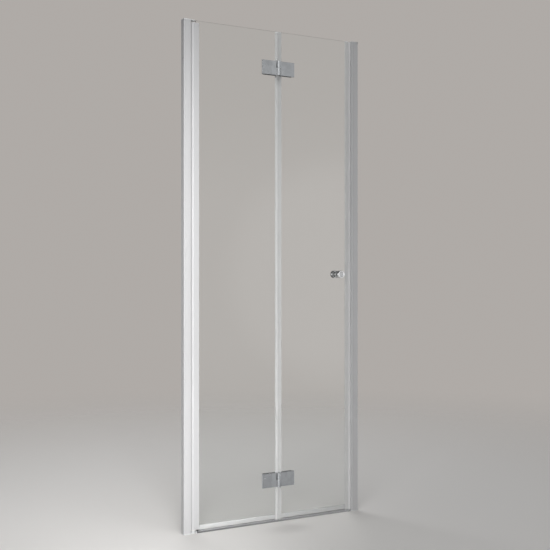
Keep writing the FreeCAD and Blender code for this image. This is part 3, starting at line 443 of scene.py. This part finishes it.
def finished_piece(replaced, mesh, body, finishes):
    """Puts a mesh on its body in place of a CAD node, smooth but for its sharp edges."""
    name = replaced + ".finished"
    bmesh.ops.remove_doubles(mesh, verts=mesh.verts, dist=MERGE_DISTANCE * MM)
    bmesh.ops.recalc_face_normals(mesh, faces=mesh.faces)
    data = bpy.data.meshes.new(name)
    mesh.to_mesh(data)
    mesh.free()
    for face in data.polygons:
        face.use_smooth = True
    data.set_sharp_from_angle(angle=SHARP_ANGLE)
    for finish in finishes:
        data.materials.append(finish)
    piece = bpy.data.objects.new(name, data)
    bpy.context.collection.objects.link(piece)
    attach(piece, body)
    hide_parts(replaced)


def knob(name, outwards):
    """A knob with rounded edges. Its chrome is brightened beyond real chrome as a painted
    highlight on the ring, and its satin dish face is darkened as painted shade.
    """
    low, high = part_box(name)
    centre = (low + high) / 2
    centre.y = 0
    mesh = bmesh.new()
    profile = rounded([
        (TIP_RADIUS, DISH_FLOOR),
        (DISH_RADIUS, DISH_FLOOR, DISH_FLOOR_ROUND),
        (DISH_WALL_RADIUS, DISH_WALL_TOP, DISH_WALL_ROUND),
        (DISH_RIM_RADIUS, KNOB_FACE, DISH_RIM_ROUND),
        (HEAD_RADIUS, KNOB_FACE, HEAD_ROUND),
        (HEAD_RADIUS, HEAD_BACK, HEAD_ROUND),
        (FLARE_RADIUS, HEAD_BACK, FLARE_ROUND),
        (NECK_RADIUS, NECK_TOP, NECK_TOP_ROUND),
        (NECK_RADIUS, ROSETTE_FACE, NECK_FOOT_ROUND),
        (ROSETTE_RADIUS, ROSETTE_FACE, ROSETTE_ROUND),
        (ROSETTE_RADIUS, ROSETTE_BACK),
    ])
    for index, face in turned(mesh, profile, centre, outwards, KNOB_SEGMENTS):
        outer = max(profile[index][0], profile[index + 1][0])
        face.material_index = 1 if outer < SATIN_RADIUS else 0
    finished_piece(name, mesh, "right_leaf", [chrome_with_painted_highlight, knob_face_painted_shade])


def hexagon(angle):
    """Shape of a ring whose radius is half the width across the flats."""
    side = TURN / SOCKET_SIDES
    return 1 / math.cos((angle + side / 2) % side - side / 2)


def cross(angle):
    """Shape of a cross recess with narrow wings."""
    quarter = TURN / CROSS_WINGS
    off_wing = abs((angle + quarter / 2) % quarter - quarter / 2)
    return 1.0 if off_wing < WING_HALF_ANGLE else CROSS_CORE_SHARE


def clamp_screws(name, body):
    """Countersunk screws with a hexagon socket, on the inside of a hinge."""
    low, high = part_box(name)
    face = high.y / MM
    end = low.y / MM
    profile = [
        (TIP_RADIUS, face - SOCKET_TIP_DEPTH),
        (SOCKET_HALF_WIDTH, face - SOCKET_DEPTH, hexagon),
        (SOCKET_HALF_WIDTH, face - SOCKET_BEVEL, hexagon),
        (SOCKET_MOUTH_HALF_WIDTH, face, hexagon),
        (CLAMP_FACE_RADIUS, face),
        (CLAMP_HEAD_RADIUS, face - CLAMP_EDGE_DEPTH),
        (CLAMP_SHANK_RADIUS, face - CLAMP_HEAD_DEPTH),
        (CLAMP_SHANK_RADIUS, end + CLAMP_END_BEVEL),
        (CLAMP_END_RADIUS, end),
        (TIP_RADIUS, end),
    ]
    mesh = bmesh.new()
    inset = CLAMP_HEAD_RADIUS * MM
    for z in (low.z + inset, high.z - inset):
        centre = Vector(((low.x + high.x) / 2, 0, z))
        turned(mesh, profile, centre, 1, CLAMP_SEGMENTS)
    finished_piece(name, mesh, body, [materials["stainless"]])


def jamb_screws(name):
    """Pan head screws with a cross recess, on the inside of a jamb."""
    low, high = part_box(name)
    face = high.y / MM
    end = low.y / MM
    profile = [
        (TIP_RADIUS, face - CROSS_TIP_DEPTH),
        (CROSS_FLOOR_RADIUS, face - CROSS_FLOOR_DEPTH),
        (CROSS_RADIUS, face - CROSS_DEPTH, cross),
        (CROSS_MOUTH_RADIUS, face - CROSS_MOUTH_DEPTH, cross),
        (PAN_CROWN_RADIUS, face - PAN_CROWN_DEPTH),
        (PAN_SHOULDER_RADIUS, face - PAN_SHOULDER_DEPTH),
        (PAN_RADIUS, face - PAN_EDGE_DEPTH),
        (PAN_RADIUS, face - PAN_DEPTH),
        (PAN_SHANK_RADIUS, face - PAN_DEPTH),
        (PAN_SHANK_RADIUS, end),
        (TIP_RADIUS, end),
    ]
    mesh = bmesh.new()
    inset = PAN_RADIUS * MM
    for z in (low.z + inset, (low.z + high.z) / 2, high.z - inset):
        centre = Vector(((low.x + high.x) / 2, 0, z))
        turned(mesh, profile, centre, 1, PAN_SEGMENTS)
    finished_piece(name, mesh, "frame", [materials["stainless"]])


# Knob body: real chrome, with its colour raised as a painted highlight on the ring
chrome_with_painted_highlight = chrome("chrome with painted highlight", dark=(0.90, 0.90, 0.905), light=(0.93, 0.93, 0.935),
                       smooth=0.05, rough=0.13)
# Knob dish: a real satin finish, made darker as painted shade
knob_face_painted_shade = chrome("satin knob face with painted shade", dark=(0.52, 0.52, 0.525), light=(0.58, 0.58, 0.585),
                   smooth=0.24, rough=0.32)
knob("knob_outer", -1)
knob("knob_inner", 1)
for side in ("left", "right"):
    jamb_screws("locking_screws_" + side)
    for place in ("lower", "upper"):
        clamp_screws("hinge_%s_screws_%s" % (place, side), side + "_leaf")


# Floor, world, lamps and camera

def studio_floor():
    """A pale disc that fades into the backdrop."""
    mesh = bpy.data.meshes.new("floor")
    disc = bmesh.new()
    bmesh.ops.create_circle(disc, cap_ends=True, radius=FLOOR_RADIUS, segments=FLOOR_SEGMENTS)
    disc.to_mesh(mesh)
    disc.free()
    floor = bpy.data.objects.new("floor", mesh)
    bpy.context.collection.objects.link(floor)
    material, shader = new_material("floor")
    tree = material.node_tree
    fixed(shader, Base_Color=(*FLOOR, 1), Roughness=0.9, Specular_IOR_Level=0.1)
    place = tree.nodes.new("ShaderNodeTexCoord")
    length = vector_math(tree, "LENGTH", place.outputs["Object"])
    fade = ranged(tree, length.outputs["Value"], FADE_START, FADE_FINISH, smooth=True)
    clear = tree.nodes.new("ShaderNodeBsdfTransparent")
    surface = mixed(tree, fade, shader.outputs[0], clear.outputs[0])
    tree.links.new(surface, tree.nodes["Material Output"].inputs["Surface"])
    mesh.materials.append(material)
    floor.visible_glossy = False


def flattened(tree, ray):
    """The ray with its height pressed, which makes a round patch tall."""
    pressed = vector_math(tree, "MULTIPLY", ray, (1, 1, TALLNESS_SHARE))
    return vector_math(tree, "NORMALIZE", pressed.outputs["Vector"]).outputs["Vector"]


def patch(tree, ray, direction, half_angle, soft_edge, inside, outside=0.0):
    """A number for a round patch of the world with a soft edge."""
    facing = vector_math(tree, "DOT_PRODUCT", ray, Vector(direction).normalized())
    start = math.cos(math.radians(half_angle + soft_edge))
    finish = math.cos(math.radians(half_angle))
    return ranged(tree, facing.outputs["Value"], start, finish, outside, inside, smooth=True)


def height_ramp(tree, height):
    """The brightness that a ray's height has in what metal mirrors."""
    ramp = tree.nodes.new("ShaderNodeValToRGB")
    stops = ramp.color_ramp.elements
    # A new ramp has two stops: the first is used again and the second goes
    stops.remove(stops[1])
    for index, (level_height, level) in enumerate(MIRRORED):
        position = (level_height + 1) / 2
        stop = stops[0] if index == 0 else stops.new(position)
        stop.position = position
        stop.color = (level, level, level, 1)
    tree.links.new(ranged(tree, height, -1.0, 1.0), ramp.inputs["Fac"])
    return ramp.outputs["Color"]


def mirrored_studio(tree):
    """What metal and glass mirror: a pale horizon with soft windows, darker above and below."""
    place = tree.nodes.new("ShaderNodeTexCoord")
    ray = place.outputs["Generated"]
    parts = tree.nodes.new("ShaderNodeSeparateXYZ")
    tree.links.new(ray, parts.inputs[0])
    behind = ranged(tree, parts.outputs["Y"], BACK_START, BACK_FINISH,
                    low=1.0, high=MIRRORED_BACK_SHARE, smooth=True)
    level = joined(tree, "MULTIPLY", height_ramp(tree, parts.outputs["Z"]), behind)
    flat_ray = flattened(tree, ray)
    for direction, half_angle in FLAGS:
        flag = patch(tree, flat_ray, direction, half_angle, FLAG_EDGE,
                     inside=FLAG_SHARE, outside=1.0)
        level = joined(tree, "MULTIPLY", level, flag)
    for direction, half_angle, soft_edge, brightness in WINDOWS:
        window = patch(tree, ray, direction, half_angle, soft_edge, inside=brightness)
        level = joined(tree, "ADD", level, window)
    for direction, half_angle, brightness in STRIPS:
        strip = patch(tree, flat_ray, direction, half_angle, STRIP_EDGE, inside=brightness)
        level = joined(tree, "ADD", level, strip)
    mirrored = node(tree, "ShaderNodeBackground", Color=(1, 1, 1, 1))
    tree.links.new(level, mirrored.inputs["Strength"])
    return mirrored.outputs[0]


def studio_world():
    """Pale backdrop for the camera and through clear pieces, and soft even light."""
    world = bpy.data.worlds.new("studio")
    bpy.context.scene.world = world
    world.use_nodes = True
    tree = world.node_tree
    light = fixed(tree.nodes["Background"], Color=(*AMBIENT_COLOUR, 1), Strength=AMBIENT)
    shown = node(tree, "ShaderNodeBackground", Color=(*BACKDROP, 1))
    path = tree.nodes.new("ShaderNodeLightPath")
    through = path.outputs["Is Transmission Ray"]
    seen = joined(tree, "MAXIMUM", path.outputs["Is Camera Ray"], through)
    # A ray that leaves a clear piece after a mirror also sees the mirrored studio
    reflected = joined(tree, "MAXIMUM", path.outputs["Is Glossy Ray"], through)
    mirrored = joined(tree, "MINIMUM", path.outputs["Glossy Depth"], reflected)
    surface = mixed(tree, seen, light.outputs[0], shown.outputs[0])
    surface = mixed(tree, mirrored, surface, mirrored_studio(tree))
    tree.links.new(surface, tree.nodes["World Output"].inputs["Surface"])


def softbox(name, place, target, width, height, power, grid=180.0):
    """An area lamp that shows only by the light it gives. A grid narrows its beam."""
    lamp = bpy.data.lights.new(name, "AREA")
    lamp.shape = "RECTANGLE"
    lamp.size = width
    lamp.size_y = height
    lamp.energy = power
    lamp.spread = math.radians(grid)
    box = bpy.data.objects.new(name, lamp)
    bpy.context.collection.objects.link(box)
    box.location = place
    away = Vector(target) - Vector(place)
    box.rotation_euler = away.to_track_quat("-Z", "Y").to_euler()
    box.visible_camera = False
    box.visible_glossy = False
    box.visible_transmission = False


def studio_camera():
    """A level camera with its verticals kept straight."""
    camera = bpy.data.objects.new("camera", bpy.data.cameras.new("camera"))
    bpy.context.collection.objects.link(camera)
    camera.data.lens = LENS
    camera.data.shift_y = SHIFT_UP
    camera.location = CAMERA_PLACE
    camera.rotation_euler = (LEVEL_GAZE, 0, -CAMERA_TURN)
    bpy.context.scene.camera = camera


studio_floor()
studio_world()
softbox("key", place=(-0.85, -1.02, 1.17), target=(-0.80, 0, 0.90), width=0.6, height=1.76,
        power=10.4, grid=104.0)
softbox("low", place=(-0.85, -1.05, 0.38), target=(-0.385, 0, 0.16), width=0.3, height=0.3,
        power=0.58, grid=60.0)
softbox("top", place=(-0.4, -2.2, 6.5), target=(0, 0, 0.6), width=3.2, height=2.6,
        power=138.0)
softbox("back", place=(0.5, 3.4, 5.2), target=(0, 0, 1.0), width=3.0, height=2.2,
        power=108.0)
studio_camera()
bpy.context.scene.view_settings.view_transform = "Standard"
